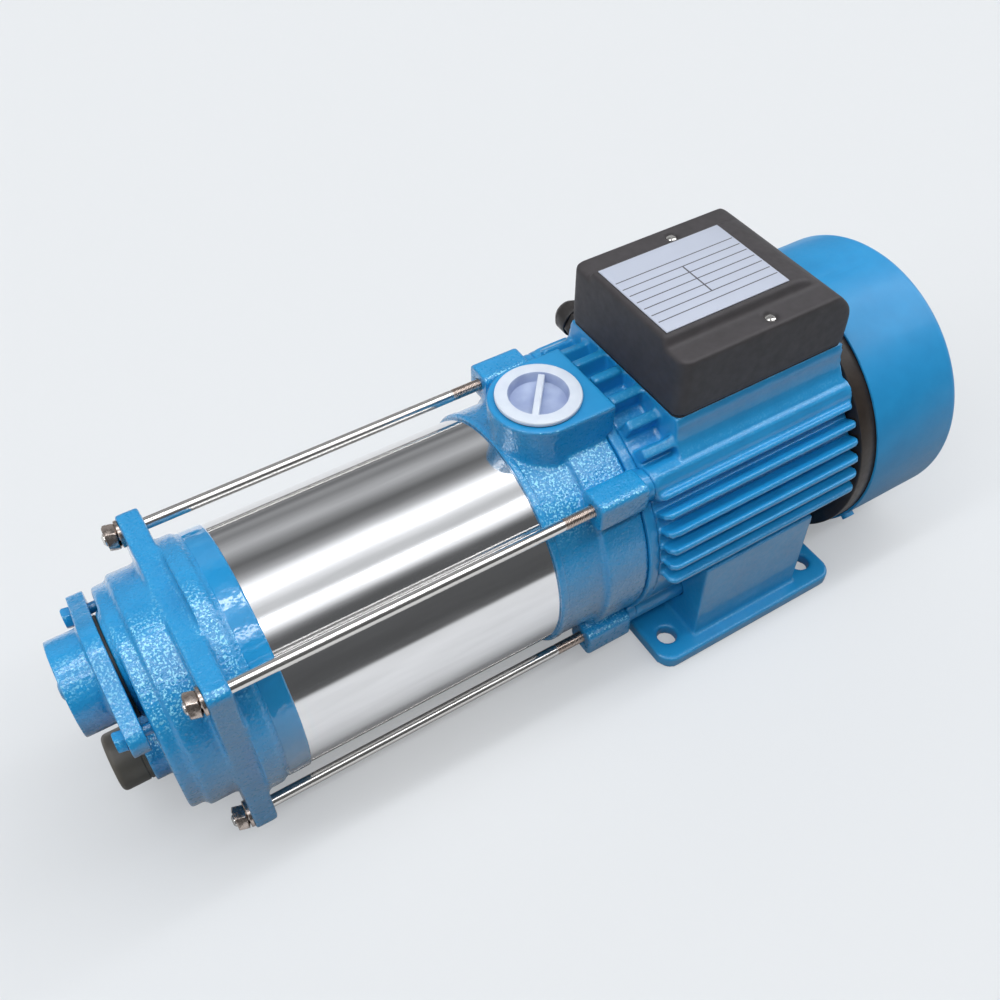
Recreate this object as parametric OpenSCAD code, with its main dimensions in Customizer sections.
// Horizontal multistage centrifugal pump with a foot-mounted motor.
// The origin is on the mounting surface, at the centre of the four foot holes.
// +X runs along the shaft from the pump to the fan, and +Z is up.

/* [Mounting] */
// Height of the shaft axis above the mounting surface
shaft_height = 71; // [66:1:90]
// Distance between the foot holes along the shaft
foot_pitch_x = 88; // [84:1:92]
// Distance between the foot holes across the shaft
foot_pitch_y = 116; // [113:1:124]
// Diameter of a foot hole
foot_hole_d = 10; // [7:0.5:10]
// Metal between a foot hole's centre and the edge of the foot plate, along the shaft
foot_edge_x = 11; // [9:1:13]
// Metal between a foot hole's centre and the edge of the foot plate, across the shaft
foot_edge_y = 14.5; // [12:0.5:20]
// Thickness of the foot plate
foot_plate_t = 7; // [5:0.5:9]
// Length of the box between the foot plate and the motor
foot_box_len = 65; // [50:1:70]
// Distance from the frame's surface to the outside of that box, beside the shaft axis
foot_side_t = 4; // [3:0.5:6]
// Wall of that box
foot_wall = 5; // [3:0.5:7]
// Height of the box's walls above the lowest point of the motor frame
foot_wrap = 48; // [35:1:50]

/* [Motor] */
// Length of the finned motor frame
frame_len = 113; // [113:1:125]
// Distance from the front foot holes to the front of the motor frame
frame_lead = 16; // [15:1:20]
// Wall of the frame outside the stator
frame_wall = 6; // [5:0.5:8]
// Radius over the tips of the fins
fin_tip_r = 70; // [66:0.5:74]
// Thickness of a side fin
fin_t = 2.8; // [2:0.2:3.6]
// Thickness of a top fin
top_fin_t = 5; // [3:0.5:6]
// Angle between two side fins
fin_pitch = 7.6; // [7:0.1:8]
// Angle between two top fins
top_fin_pitch = 11.5; // [11:0.25:12]
// Number of fins on each side
fin_count = 7; // [5:1:7]
// Angle of the highest side fin above the horizontal
fin_top_angle = 46; // [45:0.5:48]
// Distance from a fin's end to the end of the frame
fin_inset = 1; // [1:0.5:4]
// Outer radius of the stator core
stator_r = 55; // [52:0.5:56]
// Inner radius of the stator core
stator_bore_r = 30; // [29:0.5:32]
// Length of the stator core
core_len = 82; // [70:1:83]
// Distance from the front of the frame to the stator core
core_lead = 21; // [20.5:0.25:22]
// Length of the windings past each end of the core
winding_len = 11; // [6:0.5:11]
// Number of stator slots
slot_count = 24; // [18:6:24]
// Air gap between rotor and stator
air_gap = 0.4; // [0.3:0.1:0.8]
// Length of the rear shield
shield_len = 9; // [8:0.5:12]
// Distance from the frame's surface to the outside of the rear shield's rim
shield_rim = 8; // [7:0.5:8.5]

/* [Fan cover] */
// Length of the fan cover
cowl_len = 49; // [46:1:60]
// How far the fan cover stands out past the rear shield
cowl_lip = 1.4; // [0.8:0.1:3]
// Sheet thickness of the fan cover
cowl_t = 1.4; // [1:0.1:2]
// Radius of the fan cover's rear edge
cowl_edge_r = 8; // [4:0.5:10]
// Number of rings of air slots in the fan cover
grille_rings = 4; // [3:1:4]
// Width of an air slot
grille_slot = 4.5; // [3.5:0.5:5]
// Radius of the fan blades
fan_r = 58; // [50:1:60]
// Number of fan blades
fan_blades = 8; // [6:1:10]
// Width of the fan blades along the shaft
fan_w = 22; // [16:1:24]

/* [Terminal box] */
// Length of the terminal box lid
lid_len = 96; // [88:1:100]
// Width of the terminal box lid
lid_w = 80; // [76:1:82]
// Distance from the front of the frame to the lid
lid_lead = 16; // [14:0.5:17]
// Height of the lid's lower edge above the shaft axis
lid_base_h = 70; // [69:0.5:74]
// Height of the lid
lid_h = 34.5; // [33:0.5:38]
// Width of the raised top of the lid
lid_flat_w = 50; // [48:1:51]
// Width of the slope on each side of the raised top
lid_slope_w = 5; // [3:0.5:5]
// Height of the raised top above the ledges beside it
lid_ledge_drop = 4.5; // [3:0.5:6]
// Distance from the rear of the lid to the start of its rear slope
lid_rear_len = 26; // [24:1:28]
// Distance from the rear of the lid to the edge where the slope steepens
lid_knee_len = 12; // [8:1:16]
// Drop of the rear slope down to that edge
lid_rear_drop = 4.5; // [3:0.5:8]
// Wall of the lid
lid_wall = 2.5; // [2:0.1:3]
// Length of the label plate
label_len = 65; // [55:1:66]
// Width of the label plate
label_w = 48; // [40:1:50]
// Thickness of the label plate
label_t = 0.5; // [0.3:0.1:1]
// Distance between the two lid screws across the shaft
lid_screw_pitch = 67; // [66.5:0.5:68]
// Diameter of a lid screw's thread
lid_screw_d = 4; // [3:0.5:4]
// Radius of the capacitor
cap_r = 13; // [10:0.5:13.5]
// Length of the capacitor
cap_len = 62; // [50:1:66]
// Height of the cable gland above the shaft axis
gland_h = 53; // [52:0.5:56]
// Radius of the cable gland's body
gland_r = 8; // [7:0.5:8.5]
// Radius of the hole for the cable
gland_bore_r = 4; // [3:0.5:4.5]

/* [Pump] */
// Length of one stage
stage_len = 19; // [19:0.5:22]
// Length of each casing's spigot inside the tube
spigot_len = 13; // [11:0.5:16]
// Outer radius of the pump tube
tube_r = 55.5; // [55:0.5:56]
// Wall of the pump tube
tube_wall = 1.5; // [1:0.1:1.6]
// Wall of the casing spigots
spigot_wall = 5; // [4:0.5:6]
// Radius of an impeller
impeller_r = 43; // [38:0.5:44]
// Radius of an impeller's eye
eye_r = 19; // [17:0.5:20]
// Number of impeller blades
blade_count = 6; // [5:1:7]
// Radius of the shaft in the pump
pump_shaft_r = 7; // [6.5:0.25:7.5]
// Radius of the impeller hubs and spacer sleeves
hub_r = 11; // [10.5:0.25:12]
// Radius of the shaft in the bearings
bearing_bore_r = 8.5; // [8:0.25:9]
// Outer radius of the bearings
bearing_r = 20; // [19:0.5:21]
// Width of the bearings
bearing_w = 12; // [11:0.5:12]
// Number of balls in a bearing
ball_count = 8; // [7:1:9]

/* [Discharge casing] */
// Length of the plain ring behind the tube
case_ring_len = 22; // [21.5:0.5:26]
// Radius of that ring
case_ring_r = 57; // [56.5:0.25:58]
// Length of the lugged flange
case_lug_len = 22; // [20:0.5:26]
// Radius of the lugged flange
case_flange_r = 60; // [59:0.5:61]
// Distance of the tie rods from the axis, sideways and upwards
rod_offset = 46; // [45.5:0.5:48]
// Width and height of a lug
lug_w = 15; // [13:0.5:16]
// Width of the outlet pad
pad_w = 44; // [41:0.5:45]
// Height of the outlet pad's face above the axis
pad_h = 73.2; // [71:0.2:76]
// How far the outlet pad reaches over the front bracket
pad_overhang = 3; // [1:0.5:4]
// Length of the front bracket's rim
bracket_t = 5; // [4:0.5:7]
// How far the front bracket's rim stands out past the frame
bracket_lip = 0.5; // [0.3:0.1:2]

/* [Suction casing] */
// Length of the machined ring in front of the tube
suction_ring_len = 10.5; // [9:0.5:15]
// Radius of the machined ring
suction_ring_r = 56; // [55.5:0.25:57]
// Length of the neck between the ring and the square flange
suction_neck_len = 9.5; // [6:0.5:10]
// Radius of the neck
suction_neck_r = 57.5; // [57:0.25:58]
// Thickness of the square flange
square_t = 10; // [8:0.5:12]
// Half width of the square flange
square_half = 52.5; // [51.5:0.5:56]
// Corner radius of the square flange
square_corner_r = 4; // [3:0.5:6]
// Length of the first step in front of the flange
step_one_len = 12.5; // [10:0.5:15]
// Radius of the first step
step_one_r = 52; // [51:0.5:53]
// Length of the second step
step_two_len = 7.5; // [6:0.5:10]
// Radius of the second step
step_two_r = 49.6; // [49:0.2:50.4]
// Thickness of the casing's front wall
front_wall_t = 6; // [5:0.5:7]

/* [Inlet, outlet and drain] */
// Height of the inlet above the shaft axis
inlet_h = 26; // [24:0.5:26]
// Gap between the casing front and the oval flange
inlet_gap = 3; // [2.5:0.5:8]
// Thickness of the oval flange
oval_t = 7; // [6:0.5:9]
// Distance between the oval flange's bolts
oval_pitch = 66; // [64:0.5:70]
// Radius of the oval flange's ears
ear_r = 8; // [7:0.5:9]
// Radius of the middle of the oval flange
oval_r = 22.5; // [21.5:0.5:23.5]
// Length of the inlet boss in front of the oval flange
inlet_boss_len = 13; // [11:0.5:18]
// Radius of the inlet boss
inlet_boss_r = 20.3; // [20:0.1:21]
// Radius of the threaded ports
port_r = 15.5; // [15:0.1:16]
// Radius of the outlet plug's flange
plug_flange_r = 18.8; // [18:0.1:20]
// Radius of the recess in the outlet plug
plug_recess_r = 12.8; // [11:0.1:13]
// Thickness of the outlet plug's flange
plug_flange_t = 1.8; // [1.5:0.1:3]
// Length of the outlet plug's threaded shank
plug_shank_len = 9; // [8:0.5:10]
// Radius of the drain plug's head
drain_r = 13.2; // [12:0.1:13.5]
// Length of the drain plug's head
drain_head_len = 14; // [10:0.5:16]
// Length of the boss that the drain plug screws into
drain_boss_len = 8; // [6:0.5:10]
// Radius of the drain plug's thread
drain_thread_r = 8; // [6.5:0.5:9]
// Depth of the drain plug's axis below the shaft axis
drain_drop = 35; // [34:0.5:35.5]

/* [Fasteners] */
// Diameter of the tie rods
rod_d = 5.4; // [5:0.1:6]
// Size of the tie rod nuts across their flats
rod_nut_af = 10; // [9:0.5:11]
// Thickness of the tie rod nuts
rod_nut_t = 5.2; // [4:0.2:6]
// Thickness of the tie rod washers
rod_washer_t = 1.4; // [1:0.1:2]
// Length of the tie rods inside the lugs
rod_grip = 12; // [9:0.5:13]
// Diameter of the oval flange's bolts
oval_bolt_d = 5; // [4:0.5:6]
// Size of the oval flange's bolt heads across their flats
oval_bolt_af = 8; // [7:0.5:10]
// Thickness of the oval flange's bolt heads
oval_bolt_head_t = 4; // [3:0.5:5]
// Radius of the motor's through bolts
through_bolt_r = 2; // [1.5:0.25:2.25]
// Distance of the through bolts' axes outside the frame's surface
through_bolt_out = 1; // [0.5:0.25:1.5]
// Radius of the lugs that the through bolts pass
through_lug_r = 7.5; // [6:0.5:8]
// Diameter of the screws between foot and frame
foot_screw_d = 5; // [4:0.5:6]

/* [Hidden] */

// Clearances and cutting overlap
turn_gap = 0.05;      // radial gap of a shaft, race or press seat
slip_gap = 0.3;       // gap between pieces that move past each other
thread_gap = 0.1;     // radial gap of a screw in its hole
cut = 1;              // how far a cutting shape runs past what it cuts
round_fn = 96;        // sides of a round shape before exact rebuilding

// One node is written for each of these stages
stage_count = 5;

// Radii of the motor, from the stator outwards
frame_r = stator_r + frame_wall;
shield_r = frame_r + shield_rim;
cowl_r = shield_r + cowl_lip;
bracket_r = frame_r + bracket_lip;
through_bolt_ring_r = frame_r + through_bolt_out;

// Corners of the fins
fin_corner_r = 4;
top_fin_corner_r = 1;

// Foot
foot_box_w = 2 * (frame_r + foot_side_t);
foot_box_h = shaft_height - frame_r + foot_wrap;
foot_plate_len = foot_pitch_x + 2 * foot_edge_x;
foot_plate_w = foot_pitch_y + 2 * foot_edge_y;
foot_corner_r = 8;
foot_screw_head_t = 3.5;
foot_screw_grip = 4.5;

// Stations along the shaft, from the motor frame forwards
frame_x0 = -(foot_pitch_x / 2 + frame_lead);
frame_x1 = frame_x0 + frame_len;
shield_x1 = frame_x1 + shield_len;
cowl_x1 = shield_x1 + cowl_len;
case_x1 = frame_x0 - bracket_t;
lug_x0 = case_x1 - case_lug_len;
case_x0 = lug_x0 - case_ring_len;
tube_len = stage_count * stage_len + 2 * spigot_len;
tube_x0 = case_x0 - tube_len;
stack_x0 = tube_x0 + spigot_len;
stack_x1 = case_x0 - spigot_len;
neck_x0 = tube_x0 - suction_ring_len - suction_neck_len;
square_x0 = neck_x0 - square_t;
step_one_x0 = square_x0 - step_one_len;
front_x = step_one_x0 - step_two_len;
oval_x1 = front_x - inlet_gap;
oval_x0 = oval_x1 - oval_t;
boss_x0 = oval_x0 - inlet_boss_len;

// Motor inside
core_x0 = frame_x0 + core_lead;
core_x1 = core_x0 + core_len;
rotor_r = stator_bore_r - air_gap;
rotor_shaft_r = bearing_bore_r + 2.5;
front_bearing_x0 = frame_x0 + 1;
rear_bearing_x0 = frame_x1 - 2;
bearing_race_t = 3;
ball_r = (bearing_r - bearing_bore_r - 2 * bearing_race_t) / 2 + 1.2;
ball_ring_r = (bearing_r + bearing_bore_r) / 2;
bearing_hub_r = bearing_r + 5;
bearing_lip_r = bearing_r - 3;
slot_depth = 14;
slot_w = 4.5;
slot_inner_r = stator_bore_r + 2;
winding_gap = 0.2;
fan_x0 = shield_x1 + 7;
fan_hub_r = 13;
fan_disc_t = 2.5;
fan_blade_t = 2;
fan_clip_t = 1.5;
shaft_tail_x = fan_x0 + fan_w + 4;
cowl_seat_r = cowl_r - cowl_t - 0.2;
cowl_seat_len = 6;
cowl_seat_wall = 2.2;
cowl_screw_r = 1.5;
cowl_screw_head_r = 3.2;
cowl_screw_head_t = 2;
seat_disc_t = 1.5;
end_ring_len = 6;
through_bolt_grip = 6.5;
through_head_r = through_bolt_r + 1.6;
through_head_t = 2.5;

// Pump inside
casing_bore_r = tube_r - tube_wall - spigot_wall;
spigot_r = tube_r - tube_wall - turn_gap;
tube_seal_t = 2.4;
tube_seal_inset = 4;
stage_r = tube_r - tube_wall - 0.2;
stage_wall = 1.8;
stage_disc_t = 1.5;
vane_len = 5;
impeller_lead = 1.2;
impeller_w = stage_len - 3 * stage_disc_t - vane_len - 2 * impeller_lead + 1;
shroud_t = 1.5;
hub_len = stage_len - 6;
shaft_nose_x = stack_x0 - 8;
nut_t = 7;
hub_front = stack_x0 + impeller_lead;
seal_seat_r = 14;
seal_seat_t = 5;
wall_x0 = case_x1 - 8;
seal_head_len = 12;
shaft_step_x = hub_front + stage_count * stage_len;

// Terminal box places
lid_x0 = frame_x0 + lid_lead;
lid_z0 = shaft_height + lid_base_h;
lid_z1 = lid_z0 + lid_h;
box_gasket_t = 1;
pedestal_wall = 4;
pedestal_floor_h = frame_r + 1;
lid_screw_x = lid_x0 + lid_len / 2 + 2;
lid_corner_r = 5;
lid_edge = 1.2;
lid_sleeve_r = 4.6;
lid_ledge_h = lid_h - lid_ledge_drop;
lid_head_r = 2.6;
lid_head_t = 2.2;
lid_head_sink = 2.5;
lid_bore_r = 3.2;
lid_screw_grip = 6;
pedestal_top_h = lid_base_h - box_gasket_t;
pedestal_top_half = lid_w / 2 - 1;
pedestal_foot_half = pedestal_top_half + 7;
pedestal_inner_len = lid_len - 2 - 2 * pedestal_wall;
pedestal_inner_w = lid_w - 2 - 2 * pedestal_wall;
post_r = 4.5;
gland_x = lid_x0 + 14;
gland_face_y = pedestal_foot_half + 1;
gland_boss_len = 15;
gland_hex_t = 5;
gland_neck_len = 12;
gland_nut_len = 10;
gland_nut_cone = 3;
terminal_len = 44;
terminal_w = 18;
terminal_h = 16;
terminal_pitch = 11;
terminal_hole_r = 3;
terminal_lead = 24;
terminal_side = 9;
cap_lead = 16;
cap_side = 12;

// Ports
outlet_x = case_x0 + pad_w / 2 + 0.3;
plug_shank_r = port_r - thread_gap;
washer_t = 0.6;
drain_boss_r = 15;
drain_seat_x = front_x - drain_boss_len;
rod_hole_r = rod_d / 2 + 0.4;
rod_end_x = lug_x0 + rod_grip;
rod_tip = 1.2;
lug_lead = 2.5;

// Places a child's axis along the shaft, with its start at a station
module on_shaft(x = 0, side = 0, up = 0) {
    translate([x, side, shaft_height + up]) rotate([0, 90, 0]) children();
}

// A solid turned about the shaft from points given as radius and station
module turned(points) {
    on_shaft() rotate_extrude($fn = round_fn) polygon(points);
}

// A plain round bar between two stations
module bar_x(x0, x1, r, side = 0, up = 0) {
    on_shaft(x0, side, up) cylinder(h = x1 - x0, r = r, $fn = round_fn);
}

// A ring between two stations
module ring_x(x0, x1, r_out, r_in, side = 0, up = 0) {
    difference() {
        bar_x(x0, x1, r_out, side, up);
        bar_x(x0 - cut, x1 + cut, r_in, side, up);
    }
}

// A rectangle with round corners, in two dimensions
module rounded_rectangle(length, width, radius) {
    square([length - 2 * radius, width], center = true);
    square([length, width - 2 * radius], center = true);
    for (sx = [-1, 1]) {
        for (sy = [-1, 1]) {
            translate([sx * (length / 2 - radius), sy * (width / 2 - radius)]) circle(r = radius, $fn = 48);
        }
    }
}

// Repeats a child at the four tie rods
module at_rods() {
    for (side = [-1, 1]) {
        for (up = [-1, 1]) {
            translate([0, side * rod_offset, up * rod_offset]) children();
        }
    }
}

// Repeats a child at the four through bolts of the motor
module at_through_bolts() {
    for (side = [-1, 1]) {
        for (up = [-1, 1]) {
            translate([0, side * through_bolt_ring_r / sqrt(2), up * through_bolt_ring_r / sqrt(2)]) children();
        }
    }
}

module suction_casing() {
    color("steelblue") difference() {
        union() {
            turned([
                [casing_bore_r, stack_x0], [spigot_r, stack_x0], [spigot_r, tube_x0],
                [suction_ring_r, tube_x0], [suction_ring_r, tube_x0 - suction_ring_len],
                [suction_ring_r - 1, tube_x0 - suction_ring_len],
                [suction_neck_r, tube_x0 - suction_ring_len - 2], [suction_neck_r, neck_x0],
                [casing_bore_r + 2, neck_x0], [casing_bore_r + 2, square_x0 + 1],
                [step_one_r, square_x0], [step_one_r, step_one_x0], [step_two_r, step_one_x0 - 1],
                [step_two_r, front_x + 1], [step_two_r - 1, front_x], [0, front_x],
                [0, front_x + front_wall_t], [casing_bore_r - 3, front_x + front_wall_t],
                [casing_bore_r, front_x + front_wall_t + 3]
            ]);
            difference() {
                on_shaft(square_x0) linear_extrude(square_t)
                    rounded_rectangle(2 * square_half, 2 * square_half, square_corner_r);
                bar_x(square_x0 - cut, neck_x0 + cut, casing_bore_r);
            }
            bar_x(oval_x1 + 1, front_x + 1, oval_r, 0, inlet_h);
            bar_x(drain_seat_x, front_x + 1, drain_boss_r, 0, -drain_drop);
            for (side = [-1, 1]) {
                bar_x(front_x + 1, front_x + front_wall_t + 8, ear_r - 2, side * oval_pitch / 2, inlet_h);
            }
        }
        bar_x(oval_x1 - cut, front_x + front_wall_t + cut, port_r, 0, inlet_h);
        bar_x(drain_seat_x - cut, front_x + front_wall_t + cut, drain_thread_r, 0, -drain_drop);
        for (side = [-1, 1]) {
            bar_x(front_x - cut, front_x + front_wall_t + 5, oval_bolt_d / 2 + thread_gap,
                side * oval_pitch / 2, inlet_h);
        }
        at_rods() bar_x(square_x0 - cut, neck_x0 + cut, rod_hole_r);
        ring_x(tube_x0 + tube_seal_inset, tube_x0 + tube_seal_inset + tube_seal_t + 0.4,
            spigot_r + cut, spigot_r - tube_seal_t);
    }
}

// Plate that closes the suction chamber around the first impeller's eye
module suction_plate() {
    color("darkgray") ring_x(stack_x0 - stage_disc_t, stack_x0, casing_bore_r - turn_gap, eye_r + slip_gap);
}

module inlet_gasket() {
    color("dimgray") ring_x(oval_x1, oval_x1 + 1, oval_r - 0.5, port_r + 0.5, 0, inlet_h);
}

// Outline of the oval flange: a round middle with two ears
module oval_outline() {
    circle(r = oval_r, $fn = round_fn);
    for (side = [-1, 1]) {
        translate([0, side * oval_pitch / 2]) circle(r = ear_r, $fn = 48);
        // The flank is the common tangent of the round middle and the ear
        flank = asin((oval_r - ear_r) / (oval_pitch / 2));
        polygon([
            [oval_r * cos(flank), side * oval_r * sin(flank)],
            [ear_r * cos(flank), side * (oval_pitch / 2 + ear_r * sin(flank))],
            [-ear_r * cos(flank), side * (oval_pitch / 2 + ear_r * sin(flank))],
            [-oval_r * cos(flank), side * oval_r * sin(flank)]
        ]);
    }
}

module inlet_flange() {
    color("steelblue") difference() {
        union() {
            on_shaft(oval_x0, 0, inlet_h) linear_extrude(oval_t) oval_outline();
            bar_x(boss_x0, oval_x0 + 1, inlet_boss_r, 0, inlet_h);
        }
        bar_x(boss_x0 - cut, oval_x1 + cut, port_r, 0, inlet_h);
        for (side = [-1, 1]) {
            bar_x(oval_x0 - cut, oval_x1 + cut, oval_bolt_d / 2 + slip_gap, side * oval_pitch / 2, inlet_h);
        }
    }
}

module inlet_bolts() {
    color("steelblue") for (side = [-1, 1]) {
        bar_x(oval_x0, front_x + front_wall_t + 3, oval_bolt_d / 2, side * oval_pitch / 2, inlet_h);
        on_shaft(oval_x0 - oval_bolt_head_t, side * oval_pitch / 2, inlet_h)
            cylinder(h = oval_bolt_head_t, r = oval_bolt_af / sqrt(3), $fn = 6);
    }
}

module inlet_plug() {
    color("dimgray") {
        difference() {
            bar_x(boss_x0 + 1, boss_x0 + 1 + plug_shank_len, plug_shank_r, 0, inlet_h);
            bar_x(boss_x0 + 4, boss_x0 + 2 + plug_shank_len, plug_recess_r, 0, inlet_h);
        }
        bar_x(boss_x0 - 3, boss_x0 + 2, 4.5, 0, inlet_h);
    }
}

module drain_plug() {
    head_x0 = drain_seat_x - drain_head_len;
    color("dimgray") {
        difference() {
            on_shaft(0, 0, -drain_drop) rotate_extrude($fn = round_fn) polygon([
                [0, head_x0], [drain_r - 2, head_x0], [drain_r - 0.6, head_x0 + 0.6],
                [drain_r, head_x0 + 2], [drain_r, drain_seat_x], [0, drain_seat_x]
            ]);
            on_shaft(head_x0 - cut, 0, -drain_drop)
                cylinder(h = 6 + cut, r = 10 / sqrt(3), $fn = 6);
        }
        bar_x(drain_seat_x - cut, front_x + front_wall_t - 1, drain_thread_r - thread_gap, 0, -drain_drop);
    }
}

module tie_rods() {
    color("silver") at_rods() {
        bar_x(square_x0 - rod_washer_t - rod_nut_t - rod_tip, rod_end_x, rod_d / 2);
    }
}

module tie_rod_nuts() {
    color("silver") at_rods() difference() {
        on_shaft(square_x0 - rod_washer_t - rod_nut_t)
            cylinder(h = rod_nut_t, r = rod_nut_af / sqrt(3), $fn = 6);
        bar_x(square_x0 - 20, square_x0 + cut, rod_d / 2 + turn_gap);
    }
}

module tie_rod_washers() {
    color("silver") at_rods()
        ring_x(square_x0 - rod_washer_t, square_x0, rod_nut_af * 0.6, rod_d / 2 + turn_gap);
}

module pump_tube() {
    color("gainsboro") ring_x(tube_x0, case_x0, tube_r, tube_r - tube_wall);
}

// Seal ring in a casing spigot's groove
module tube_seal(x0) {
    on_shaft(x0 + 0.2 + tube_seal_t / 2) rotate_extrude($fn = round_fn)
        translate([spigot_r - tube_seal_t / 2, 0]) circle(r = tube_seal_t / 2 - turn_gap, $fn = 24);
}

module front_tube_seal() {
    color("black") tube_seal(tube_x0 + tube_seal_inset);
}

module rear_tube_seal() {
    color("black") tube_seal(case_x0 - tube_seal_inset - tube_seal_t - 0.4);
}

// One curved vane or blade, as an arc that leaves the hub and sweeps outwards
module swept_arc(r0, r1, thickness, lean) {
    arc_r = (r1 - r0) * 0.8;
    intersection() {
        difference() {
            circle(r = r1, $fn = round_fn);
            circle(r = r0, $fn = round_fn);
        }
        rotate(lean) translate([(r0 + r1) / 2, 0]) intersection() {
            translate([0, -arc_r * 0.75]) difference() {
                circle(r = arc_r, $fn = 64);
                circle(r = arc_r - thickness, $fn = 64);
            }
            translate([-arc_r, -arc_r * 0.25]) square([2 * arc_r, arc_r]);
        }
    }
}

module stage_housing(index) {
    x0 = stack_x0 + (index - 1) * stage_len;
    x1 = x0 + stage_len;
    vane_x0 = x1 - stage_disc_t - vane_len;
    color("darkgray") {
        ring_x(x0, x1, stage_r, stage_r - stage_wall);
        ring_x(x1 - stage_disc_t, x1, stage_r - stage_wall + 0.5, eye_r + slip_gap);
        ring_x(vane_x0 - stage_disc_t, vane_x0, impeller_r + 3, hub_r + slip_gap);
        for (turn = [0 : 360 / (blade_count + 1) : 359]) {
            on_shaft(vane_x0 - 0.5) rotate(turn) linear_extrude(vane_len + 1)
                swept_arc(eye_r + 3, stage_r - stage_wall + 0.5, 1.6, -20);
        }
    }
}

module impeller(index) {
    x0 = hub_front + (index - 1) * stage_len;
    color("darkgray") difference() {
        union() {
            bar_x(x0, x0 + hub_len, hub_r);
            bar_x(x0 + impeller_w - shroud_t, x0 + impeller_w, impeller_r);
            ring_x(x0, x0 + shroud_t, impeller_r, eye_r - 2);
            ring_x(x0 - 2, x0 + shroud_t, eye_r, eye_r - 2);
            for (turn = [0 : 360 / blade_count : 359]) {
                on_shaft(x0 + shroud_t / 2) rotate(turn) linear_extrude(impeller_w - shroud_t)
                    swept_arc(hub_r + 4, impeller_r - 0.6, 1.6, 15);
            }
        }
        bar_x(x0 - 3, x0 + hub_len + cut, pump_shaft_r + turn_gap);
    }
}

module spacer_sleeves() {
    color("silver") for (index = [1 : stage_count]) {
        x0 = hub_front + (index - 1) * stage_len + hub_len;
        ring_x(x0, x0 + stage_len - hub_len, hub_r - 1, pump_shaft_r + turn_gap);
    }
}

module impeller_nut() {
    color("silver") difference() {
        on_shaft(hub_front - nut_t) cylinder(h = nut_t, r = hub_r - 0.5, $fn = 6);
        bar_x(hub_front - nut_t - cut, hub_front + cut, pump_shaft_r + turn_gap);
    }
}

module shaft() {
    color("silver") turned([
        [0, shaft_nose_x], [pump_shaft_r - 1, shaft_nose_x], [pump_shaft_r, shaft_nose_x + 1],
        [pump_shaft_r, shaft_step_x], [bearing_bore_r, shaft_step_x],
        [bearing_bore_r, front_bearing_x0 + bearing_w],
        [rotor_shaft_r, front_bearing_x0 + bearing_w], [rotor_shaft_r, rear_bearing_x0],
        [bearing_bore_r, rear_bearing_x0], [bearing_bore_r, rear_bearing_x0 + bearing_w],
        [pump_shaft_r, rear_bearing_x0 + bearing_w], [pump_shaft_r, shaft_tail_x - 1],
        [pump_shaft_r - 1, shaft_tail_x], [0, shaft_tail_x]
    ]);
}

module seal_head() {
    x1 = wall_x0 - slip_gap;
    color("dimgray") {
        ring_x(x1 - seal_head_len, x1 - 3, seal_seat_r - 1, bearing_bore_r + turn_gap);
        ring_x(x1 - 3.5, x1, seal_seat_r - 2.5, bearing_bore_r + turn_gap);
    }
}

module seal_seat() {
    color("white") ring_x(wall_x0, wall_x0 + seal_seat_t, seal_seat_r - turn_gap, bearing_bore_r + slip_gap);
}

// Outline of the outlet pad seen from above: round in front, straight sides to the rear
module pad_outline() {
    circle(r = pad_w / 2, $fn = round_fn);
    translate([0, -pad_w / 2]) square([case_x1 + pad_overhang - outlet_x, pad_w]);
}

module discharge_casing() {
    color("steelblue") difference() {
        union() {
            turned([
                [casing_bore_r, stack_x1], [spigot_r, stack_x1], [spigot_r, case_x0],
                [case_ring_r, case_x0], [case_ring_r, lug_x0], [case_flange_r, lug_x0 + 1],
                [case_flange_r, case_x1], [bearing_bore_r + 3, case_x1], [bearing_bore_r + 3, wall_x0],
                [casing_bore_r, wall_x0]
            ]);
            at_rods() on_shaft(lug_x0 - lug_lead) linear_extrude(case_lug_len + lug_lead)
                rounded_rectangle(lug_w, lug_w, 3);
            translate([outlet_x, 0, shaft_height]) linear_extrude(pad_h) pad_outline();
        }
        bar_x(stack_x1 - cut, wall_x0, casing_bore_r);
        bar_x(wall_x0 - cut, wall_x0 + seal_seat_t, seal_seat_r);
        bar_x(wall_x0 - cut, case_x1 + cut, bearing_bore_r + 3);
        // The outlet pad clears the front bracket
        bar_x(case_x1, case_x1 + pad_overhang + cut, bracket_r + slip_gap);
        translate([outlet_x, 0, shaft_height + case_ring_r / 2])
            cylinder(h = pad_h, r = port_r, $fn = round_fn);
        at_rods() bar_x(lug_x0 - lug_lead - cut, rod_end_x + 1, rod_d / 2 + thread_gap);
        at_through_bolts() bar_x(case_x1 - through_bolt_grip - 0.5, case_x1 + cut, through_bolt_r + thread_gap);
        ring_x(case_x0 - tube_seal_inset - tube_seal_t - 0.4, case_x0 - tube_seal_inset,
            spigot_r + cut, spigot_r - tube_seal_t);
    }
}

module outlet_washer() {
    color("black") translate([outlet_x, 0, shaft_height + pad_h]) difference() {
        cylinder(h = washer_t, r = plug_flange_r - 0.4, $fn = round_fn);
        translate([0, 0, -cut]) cylinder(h = washer_t + 2 * cut, r = port_r + 0.2, $fn = round_fn);
    }
}

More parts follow.
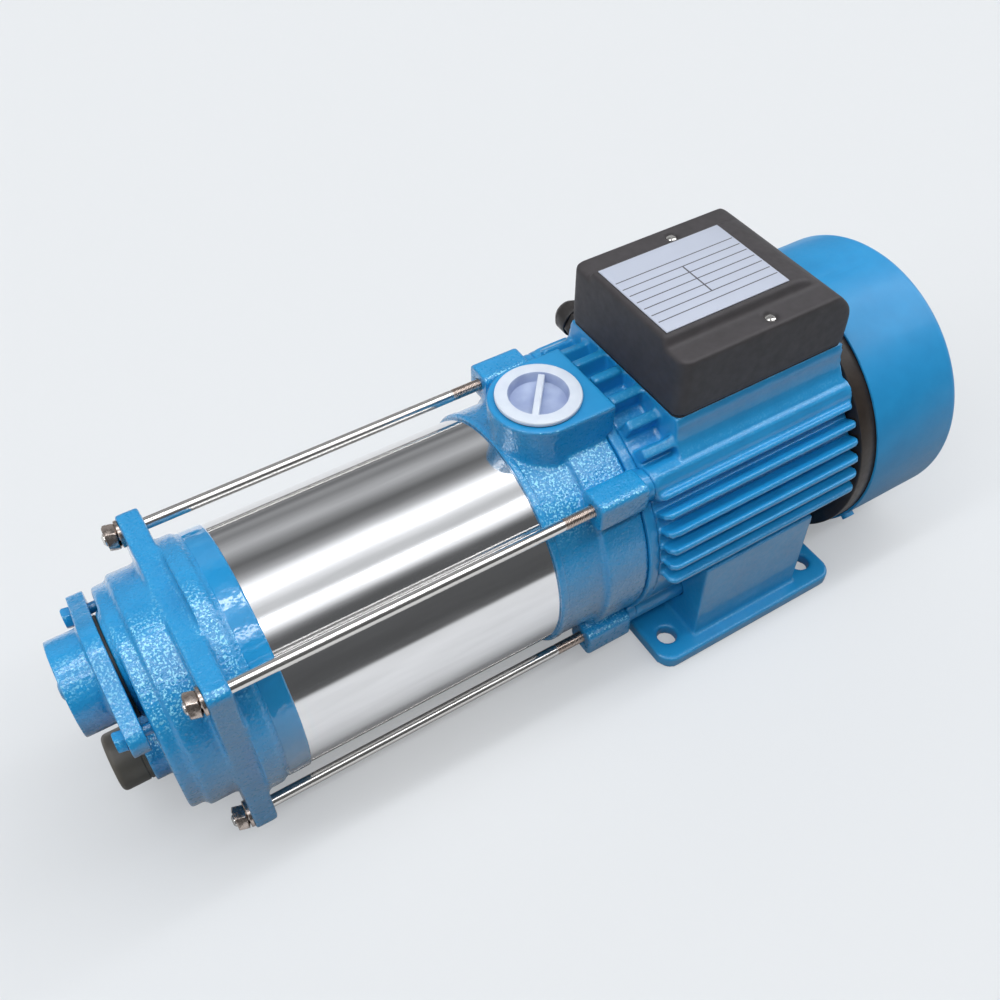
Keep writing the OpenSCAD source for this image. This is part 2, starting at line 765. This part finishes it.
module outlet_plug() {
    seat_z = shaft_height + pad_h + washer_t;
    color("white") translate([outlet_x, 0, seat_z]) {
        difference() {
            union() {
                cylinder(h = plug_flange_t, r = plug_flange_r, $fn = round_fn);
                translate([0, 0, -plug_shank_len]) cylinder(h = plug_shank_len + 1, r = plug_shank_r, $fn = round_fn);
            }
            translate([0, 0, 1.5 - plug_shank_len])
                cylinder(h = plug_shank_len + plug_flange_t, r = plug_recess_r, $fn = round_fn);
        }
        // Grip bar across the recess
        rotate(51) translate([-plug_recess_r - 0.5, -1.1, -plug_shank_len + 1])
            cube([2 * plug_recess_r + 1, 2.2, plug_shank_len + plug_flange_t - 1.4]);
    }
}

module front_bracket() {
    color("steelblue") difference() {
        union() {
            bar_x(case_x1, frame_x0, bracket_r);
            bar_x(frame_x0 - cut, front_bearing_x0 + bearing_w + 1, bearing_hub_r);
            bar_x(frame_x0 - cut, frame_x0 + 4, stator_r);
            at_through_bolts() bar_x(case_x1, frame_x0, through_lug_r);
        }
        bar_x(case_x1 - cut, frame_x0 + 60, bearing_lip_r - 3);
        bar_x(front_bearing_x0, frame_x0 + 60, bearing_r + turn_gap);
        ring_x(case_x1 + 3, frame_x0 + 5, stator_r - 5, bearing_hub_r);
        at_through_bolts() bar_x(case_x1 - cut, frame_x0 + cut, through_bolt_r + slip_gap);
    }
}

// Rings and balls of a ball bearing
module bearing_outer(x0) {
    difference() {
        ring_x(x0, x0 + bearing_w, bearing_r, bearing_r - bearing_race_t);
        ball_groove(x0);
    }
}

module bearing_inner(x0) {
    difference() {
        ring_x(x0, x0 + bearing_w, bearing_bore_r + bearing_race_t, bearing_bore_r + turn_gap);
        ball_groove(x0);
    }
}

module ball_groove(x0) {
    on_shaft(x0 + bearing_w / 2) rotate_extrude($fn = round_fn)
        translate([ball_ring_r, 0]) circle(r = ball_r + turn_gap, $fn = 32);
}

module bearing_balls(x0) {
    for (turn = [0 : 360 / ball_count : 359]) {
        on_shaft(x0 + bearing_w / 2) rotate(turn) translate([ball_ring_r, 0, 0]) sphere(r = ball_r, $fn = 32);
    }
}

module front_bearing_outer() { color("silver") bearing_outer(front_bearing_x0); }
module front_bearing_balls() { color("silver") bearing_balls(front_bearing_x0); }
module front_bearing_inner() { color("silver") bearing_inner(front_bearing_x0); }
module rear_bearing_outer() { color("silver") bearing_outer(rear_bearing_x0); }
module rear_bearing_balls() { color("silver") bearing_balls(rear_bearing_x0); }
module rear_bearing_inner() { color("silver") bearing_inner(rear_bearing_x0); }

// One fin along the frame, with outer corners of a chosen radius
module fin(angle, thickness, corner) {
    length = frame_len - 2 * fin_inset;
    translate([0, 0, shaft_height]) rotate([angle, 0, 0])
        translate([frame_x0 + fin_inset, thickness / 2, 0]) rotate([90, 0, 0]) linear_extrude(thickness)
        union() {
            translate([0, frame_r - 2]) square([length, fin_tip_r - frame_r + 2 - corner]);
            translate([corner, frame_r - 2]) square([length - 2 * corner, fin_tip_r - frame_r + 2]);
            for (x = [corner, length - corner]) {
                translate([x, fin_tip_r - corner]) circle(r = corner, $fn = 32);
            }
        }
}

// Cross-section of the pedestal under the terminal box, with hollow flanks
module pedestal_outline() {
    top_half = pedestal_top_half;
    foot_half = pedestal_foot_half;
    knee_h = pedestal_top_h - 17;
    flank_r = 16;
    difference() {
        polygon([
            [-foot_half, frame_r - 12], [foot_half, frame_r - 12],
            [foot_half, knee_h], [top_half, pedestal_top_h], [-top_half, pedestal_top_h], [-foot_half, knee_h]
        ]);
        for (side = [-1, 1]) {
            translate([side * (top_half + flank_r + 1.5), pedestal_top_h - 5]) circle(r = flank_r, $fn = 64);
        }
    }
}

// Repeats a child at the two lid screws, at a height above the shaft axis
module at_lid_screws(up) {
    for (side = [-1, 1]) {
        translate([lid_screw_x, side * lid_screw_pitch / 2, shaft_height + up]) children();
    }
}

// Places a child on the axis of the cable gland, pointing away from the frame
module at_gland(y) {
    translate([gland_x, y, shaft_height + gland_h]) rotate([-90, 0, 0]) children();
}

module motor_frame() {
    color("steelblue") difference() {
        union() {
            difference() {
                union() {
                    bar_x(frame_x0, frame_x1, frame_r);
                    for (side = [-1, 1]) {
                        for (index = [0 : fin_count - 1]) {
                            fin(side * (90 - fin_top_angle + index * fin_pitch), fin_t, fin_corner_r);
                        }
                    }
                    for (angle = [-3 * top_fin_pitch : top_fin_pitch : 3 * top_fin_pitch]) {
                        fin(angle, top_fin_t, top_fin_corner_r);
                    }
                    at_through_bolts() bar_x(frame_x0, frame_x1, through_lug_r);
                    translate([lid_x0 + 1, 0, shaft_height]) rotate([90, 0, 90]) linear_extrude(lid_len - 2)
                        pedestal_outline();
                    // Boss for the cable gland
                    at_gland(gland_face_y - gland_boss_len)
                        cylinder(h = gland_boss_len, r = gland_r + 1, $fn = 48);
                }
                bar_x(frame_x0 - cut, frame_x1 + cut, stator_r + turn_gap);
                at_through_bolts() bar_x(frame_x0 - cut, frame_x1 + cut, through_bolt_r + slip_gap);
                // Flat seat for the lid's gasket
                translate([lid_x0 - cut, -lid_w, shaft_height + pedestal_top_h])
                    cube([frame_x1 - lid_x0 + 2, 2 * lid_w, 20]);
                // Threaded holes for the foot screws
                for (sx = [-1, 1]) {
                    translate([sx * foot_box_len / 4, 0, shaft_height - frame_r - cut])
                        cylinder(h = foot_screw_grip + 0.5 + cut, r = foot_screw_d / 2 + thread_gap, $fn = 48);
                }
                // Hollow of the pedestal
                translate([lid_x0 + lid_len / 2, 0, shaft_height + pedestal_floor_h]) linear_extrude(20)
                    rounded_rectangle(pedestal_inner_len, pedestal_inner_w, 4);
                // Hole for the cable gland, and room round its seat between the fins
                at_gland(gland_face_y - gland_boss_len - 2)
                    cylinder(h = 30, r = gland_bore_r + 1.5, $fn = 48);
                at_gland(gland_face_y) cylinder(h = 30, r = gland_r + 1.5, $fn = 48);
            }
            // Posts for the lid screws
            at_lid_screws(pedestal_floor_h - 2)
                cylinder(h = pedestal_top_h - pedestal_floor_h + 2, r = post_r, $fn = 48);
        }
        at_lid_screws(lid_base_h - lid_screw_grip - 1)
            cylinder(h = lid_screw_grip + 20, r = lid_screw_d / 2 + thread_gap, $fn = 48);
    }
}

module motor_foot() {
    color("steelblue") difference() {
        union() {
            linear_extrude(foot_plate_t) rounded_rectangle(foot_plate_len, foot_plate_w, foot_corner_r);
            translate([-foot_box_len / 2, -foot_box_w / 2, 0]) cube([foot_box_len, foot_box_w, foot_box_h]);
        }
        // Hollow under the box
        translate([-foot_box_len / 2 + foot_wall, -foot_box_w / 2 + foot_wall, -cut])
            difference() {
                cube([foot_box_len - 2 * foot_wall, foot_box_w - 2 * foot_wall, foot_box_h + 2 * cut]);
                translate([-cut, foot_box_w / 2 - foot_wall, shaft_height + cut]) rotate([0, 90, 0])
                    cylinder(h = foot_box_len, r = frame_r + foot_wall, $fn = round_fn);
                translate([-cut, -cut, foot_box_h - foot_wall + cut])
                    cube([foot_box_len, foot_box_w, foot_wall + 2 * cut]);
                translate([foot_box_len / 2 - foot_wall, foot_box_w / 2 - foot_wall, cut])
                    at_through_bolts() bar_x(-foot_box_len, foot_box_len, through_lug_r + foot_wall);
            }
        bar_x(-foot_box_len, foot_box_len, frame_r + turn_gap);
        at_through_bolts() bar_x(-foot_box_len, foot_box_len, through_lug_r + slip_gap);
        for (sx = [-1, 1]) {
            for (sy = [-1, 1]) {
                translate([sx * foot_pitch_x / 2, sy * foot_pitch_y / 2, -cut])
                    cylinder(h = foot_plate_t + 2 * cut, r = foot_hole_d / 2, $fn = 48);
            }
        }
        for (sx = [-1, 1]) {
            translate([sx * foot_box_len / 4, 0, -cut])
                cylinder(h = 20, r = foot_screw_d / 2 + slip_gap, $fn = 48);
        }
    }
}

// Screws that hold the foot to the frame, from below
module foot_screws() {
    top_z = shaft_height - frame_r - foot_wall;
    color("silver") for (sx = [-1, 1]) {
        translate([sx * foot_box_len / 4, 0, top_z - foot_screw_head_t]) difference() {
            union() {
                cylinder(h = foot_screw_head_t, r = foot_screw_d * 0.8, $fn = 48);
                cylinder(h = foot_screw_head_t + foot_wall + foot_screw_grip, r = foot_screw_d / 2, $fn = 48);
            }
            translate([0, 0, -cut]) cylinder(h = 2 + cut, r = foot_screw_d / 2 / sqrt(3) * 1.6, $fn = 6);
        }
    }
}

// Slots of the stator, in two dimensions
module stator_slots(gap) {
    for (index = [0 : slot_count - 1]) {
        rotate(index * 360 / slot_count) translate([slot_inner_r + gap, -slot_w / 2 + gap])
            square([slot_depth - 2 * gap, slot_w - 2 * gap]);
    }
}

module stator_core() {
    color("gray") on_shaft(core_x0) linear_extrude(core_len) difference() {
        circle(r = stator_r, $fn = round_fn);
        circle(r = stator_bore_r, $fn = round_fn);
        stator_slots(0);
    }
}

module stator_windings() {
    inner = slot_inner_r + 1;
    outer = slot_inner_r + slot_depth - 1;
    color("peru") {
        on_shaft(core_x0 - 1) linear_extrude(core_len + 2) stator_slots(winding_gap);
        ring_x(core_x0 - winding_len, core_x0 - 0.3, outer, inner);
        ring_x(core_x1 + 0.3, core_x1 + winding_len, outer, inner);
    }
}

module rotor_core() {
    color("gray") ring_x(core_x0, core_x1, rotor_r, rotor_shaft_r + turn_gap);
}

module rotor_end_rings() {
    color("silver") for (x0 = [core_x0 - end_ring_len, core_x1]) {
        ring_x(x0, x0 + end_ring_len, rotor_r - 1, rotor_r - 11);
    }
}

module rear_shield() {
    hub_x0 = rear_bearing_x0 - 1;
    hub_x1 = rear_bearing_x0 + bearing_w + 1.5;
    color("#2c2624") difference() {
        union() {
            bar_x(frame_x1, shield_x1, shield_r);
            bar_x(frame_x1 - 4, frame_x1 + cut, stator_r);
            bar_x(shield_x1, shield_x1 + cowl_seat_len, cowl_seat_r);
            bar_x(hub_x0, hub_x1, bearing_hub_r);
            at_through_bolts() bar_x(frame_x1, shield_x1, through_lug_r - 1);
        }
        // Hollow towards the motor, and towards the fan
        ring_x(frame_x1 - 5, frame_x1 + 4, stator_r - 5, bearing_hub_r);
        ring_x(shield_x1 + seat_disc_t, shield_x1 + cowl_seat_len + cut,
            cowl_seat_r - cowl_seat_wall, bearing_hub_r);
        bar_x(hub_x1 - 2, shield_x1 + cowl_seat_len + cut, bearing_lip_r);
        bar_x(hub_x1, shield_x1 + cowl_seat_len + cut, bearing_hub_r + cut);
        bar_x(hub_x0 - cut, rear_bearing_x0 + bearing_w, bearing_r + turn_gap);
        at_through_bolts() bar_x(frame_x1 - cut, shield_x1 + seat_disc_t + cut, through_bolt_r + slip_gap);
        at_cowl_screws() translate([0, 0, cowl_seat_r - 5])
            cylinder(h = 20, r = cowl_screw_r + thread_gap, $fn = 24);
        // Room for the foot plate
        translate([frame_x1 - cut, -foot_plate_w, -cut])
            cube([foot_plate_len / 2 + slip_gap - frame_x1 + cut, 2 * foot_plate_w,
                foot_plate_t + slip_gap + cut]);
    }
}

// Long bolts that clamp the rear shield, the frame and the front bracket to the discharge casing
module through_bolts() {
    head_x = shield_x1 + seat_disc_t;
    color("silver") at_through_bolts() {
        bar_x(case_x1 - through_bolt_grip, head_x + 1, through_bolt_r);
        bar_x(head_x, head_x + through_head_t, through_head_r);
    }
}

// Repeats a child at the fan cover's screws, with its axis pointing outwards
module at_cowl_screws() {
    for (turn = [60 : 120 : 300]) {
        on_shaft(shield_x1 + cowl_seat_len / 2 + seat_disc_t / 2) rotate(turn) rotate([0, 90, 0]) children();
    }
}

module fan() {
    color("dimgray") difference() {
        union() {
            bar_x(fan_x0, fan_x0 + fan_w, fan_hub_r);
            bar_x(fan_x0, fan_x0 + fan_disc_t, fan_r - 4);
            for (turn = [0 : 360 / fan_blades : 359]) {
                on_shaft(fan_x0) rotate(turn) translate([fan_hub_r - 2, -fan_blade_t / 2, 0])
                    cube([fan_r - fan_hub_r + 2, fan_blade_t, fan_w]);
            }
        }
        bar_x(fan_x0 - cut, fan_x0 + fan_w + cut, pump_shaft_r + turn_gap);
    }
}

module fan_clip() {
    color("silver") ring_x(fan_x0 + fan_w, fan_x0 + fan_w + fan_clip_t, pump_shaft_r + 3, pump_shaft_r + turn_gap);
}

module fan_cover() {
    edge = cowl_edge_r;
    inner_r = cowl_r - cowl_t;
    color("steelblue") difference() {
        union() {
            ring_x(shield_x1, cowl_x1 - edge, cowl_r, inner_r);
            bar_x(cowl_x1 - cowl_t, cowl_x1, cowl_r - edge);
            // Round rear edge
            on_shaft(cowl_x1 - edge) rotate_extrude($fn = round_fn) intersection() {
                translate([cowl_r - edge, 0]) difference() {
                    circle(r = edge, $fn = 64);
                    circle(r = edge - cowl_t, $fn = 64);
                }
                translate([cowl_r - edge, 0]) square([edge + cut, edge + cut]);
            }
        }
        // Rings of air slots, crossed by ribs
        difference() {
            for (ring = [0 : grille_rings - 1]) {
                slot_r = 18 + ring * 2.2 * grille_slot;
                ring_x(cowl_x1 - cowl_t - cut, cowl_x1 + cut, slot_r + grille_slot, slot_r);
            }
            for (turn = [0 : 60 : 120]) {
                on_shaft(cowl_x1 - cowl_t - 2 * cut) rotate(turn) translate([-cowl_r, -3, 0])
                    cube([2 * cowl_r, 6, cowl_t + 4 * cut]);
            }
        }
        at_cowl_screws() translate([0, 0, cowl_seat_r - 5])
            cylinder(h = 20, r = cowl_screw_r + slip_gap, $fn = 24);
    }
}

module fan_cover_screws() {
    color("steelblue") at_cowl_screws() {
        translate([0, 0, cowl_r + 0.1]) cylinder(h = cowl_screw_head_t, r = cowl_screw_head_r, $fn = 48);
        translate([0, 0, cowl_seat_r - 3.5]) cylinder(h = cowl_r - cowl_seat_r + 4, r = cowl_screw_r, $fn = 24);
    }
}

module box_gasket() {
    color("black") difference() {
        translate([lid_x0 + lid_len / 2, 0, shaft_height + pedestal_top_h]) linear_extrude(box_gasket_t)
            difference() {
                rounded_rectangle(lid_len - 2, lid_w - 2, lid_corner_r - 1);
                rounded_rectangle(pedestal_inner_len, pedestal_inner_w, 4);
            }
        at_lid_screws(pedestal_top_h - cut) cylinder(h = box_gasket_t + 2 * cut, r = lid_sleeve_r, $fn = 48);
    }
}

// One layer of the lid: its plan, its side profile and its cross-section, smaller by an inset
module lid_layer(top, base_half, top_half, inset) {
    floor_h = inset > 0 ? -cut : 0;
    intersection() {
        translate([lid_x0 + lid_len / 2, 0, lid_z0 + floor_h]) linear_extrude(lid_h + cut)
            rounded_rectangle(lid_len - 2 * inset, lid_w - 2 * inset, lid_corner_r);
        translate([lid_x0, base_half, lid_z0]) rotate([90, 0, 0]) linear_extrude(2 * base_half) polygon([
            [inset, floor_h], [lid_len - inset, floor_h], [lid_len - inset, 2],
            [lid_len - lid_knee_len - inset, top - lid_rear_drop], [lid_len - lid_rear_len, top],
            [inset + lid_edge, top], [inset, top - lid_edge]
        ]);
        translate([lid_x0, 0, lid_z0]) rotate([90, 0, 90]) linear_extrude(lid_len) polygon([
            [-base_half, floor_h], [base_half, floor_h], [base_half, top - base_half + top_half],
            [top_half, top], [-top_half, top], [-base_half, top - base_half + top_half]
        ]);
    }
}

// Outer or inner shape of the lid: a raised top with sloping sides between two ledges
module lid_shape(inset) {
    half = lid_w / 2 - inset;
    flat = lid_flat_w / 2 - inset / 2;
    lid_layer(lid_ledge_h - inset, half, half - lid_edge, inset);
    intersection() {
        lid_layer(lid_h - inset, flat + 2 * lid_h, flat + lid_h, inset);
        translate([lid_x0, 0, lid_z0]) rotate([90, 0, 90]) linear_extrude(lid_len) polygon([
            [-flat - lid_slope_w, -cut], [flat + lid_slope_w, -cut],
            [flat + lid_slope_w, lid_ledge_h - inset], [flat, lid_h - inset],
            [-flat, lid_h - inset], [-flat - lid_slope_w, lid_ledge_h - inset]
        ]);
    }
}

module box_lid() {
    color("#4a4648") difference() {
        union() {
            difference() {
                lid_shape(0);
                lid_shape(lid_wall);
            }
            // Sleeves for the screws
            at_lid_screws(lid_base_h) cylinder(h = lid_ledge_h - lid_wall / 2, r = lid_sleeve_r, $fn = 48);
        }
        at_lid_screws(lid_base_h - cut) cylinder(h = lid_h + cut, r = lid_screw_d / 2 + slip_gap, $fn = 48);
        at_lid_screws(lid_base_h + lid_ledge_h - lid_head_sink) cylinder(h = lid_h, r = lid_bore_r, $fn = 48);
    }
}

module label_plate() {
    color("white") translate([lid_x0 + 2.5 + label_len / 2, 0, lid_z1]) linear_extrude(label_t)
        rounded_rectangle(label_len, label_w, 1);
}

module lid_screws() {
    color("silver") {
        at_lid_screws(lid_base_h + lid_ledge_h - lid_head_sink)
            cylinder(h = lid_head_t, r = lid_head_r, $fn = 48);
        at_lid_screws(lid_base_h - lid_screw_grip)
            cylinder(h = lid_ledge_h - lid_head_sink + lid_screw_grip + 1, r = lid_screw_d / 2, $fn = 48);
    }
}

module terminal_block() {
    floor_z = shaft_height + pedestal_floor_h;
    block_y0 = terminal_side - pedestal_inner_w / 2 - 1;
    color("ivory") translate([lid_x0 + terminal_lead, block_y0, floor_z]) difference() {
        cube([terminal_len, terminal_w, terminal_h]);
        for (index = [-1.5 : 1 : 1.5]) {
            translate([terminal_len / 2 + index * terminal_pitch, terminal_w / 2, terminal_h - 10])
                cylinder(h = 20, r = terminal_hole_r, $fn = 32);
        }
    }
}

module capacitor() {
    floor_z = shaft_height + pedestal_floor_h;
    color("lightgray") translate([lid_x0 + cap_lead, cap_side, floor_z + cap_r]) rotate([0, 90, 0])
        cylinder(h = cap_len, r = cap_r, $fn = round_fn);
}

module cable_gland() {
    color("dimgray") at_gland(gland_face_y) difference() {
        union() {
            cylinder(h = gland_hex_t, r = gland_r, $fn = 6);
            cylinder(h = gland_neck_len, r = gland_r - 2, $fn = 48);
        }
        translate([0, 0, -cut]) cylinder(h = gland_neck_len + 2 * cut, r = gland_bore_r, $fn = 48);
    }
}

module gland_nut() {
    straight = gland_nut_len - gland_nut_cone;
    color("dimgray") at_gland(gland_face_y + gland_hex_t + slip_gap) difference() {
        union() {
            cylinder(h = straight, r = gland_r, $fn = 48);
            translate([0, 0, straight]) cylinder(h = gland_nut_cone, r1 = gland_r, r2 = gland_r - 2, $fn = 48);
        }
        translate([0, 0, -cut]) cylinder(h = straight + cut, r = gland_r - 2 + thread_gap, $fn = 48);
        translate([0, 0, -cut]) cylinder(h = gland_nut_len + 2 * cut, r = gland_bore_r, $fn = 48);
    }
}

suction_casing();
suction_plate();
inlet_gasket();
inlet_flange();
inlet_bolts();
inlet_plug();
drain_plug();
tie_rods();
tie_rod_nuts();
tie_rod_washers();
pump_tube();
front_tube_seal();
rear_tube_seal();
stage_housing(1);  // stage_housing_1
stage_housing(2);  // stage_housing_2
stage_housing(3);  // stage_housing_3
stage_housing(4);  // stage_housing_4
stage_housing(5);  // stage_housing_5
impeller(1);  // impeller_1
impeller(2);  // impeller_2
impeller(3);  // impeller_3
impeller(4);  // impeller_4
impeller(5);  // impeller_5
spacer_sleeves();
impeller_nut();
shaft();
seal_head();
seal_seat();
discharge_casing();
outlet_plug();
outlet_washer();
front_bracket();
front_bearing_outer();
front_bearing_balls();
front_bearing_inner();
motor_frame();
motor_foot();
foot_screws();
stator_core();
stator_windings();
rotor_core();
rotor_end_rings();
rear_bearing_outer();
rear_bearing_balls();
rear_bearing_inner();
rear_shield();
through_bolts();
fan();
fan_clip();
fan_cover();
fan_cover_screws();
box_gasket();
box_lid();
label_plate();
lid_screws();
terminal_block();
capacitor();
cable_gland();
gland_nut();
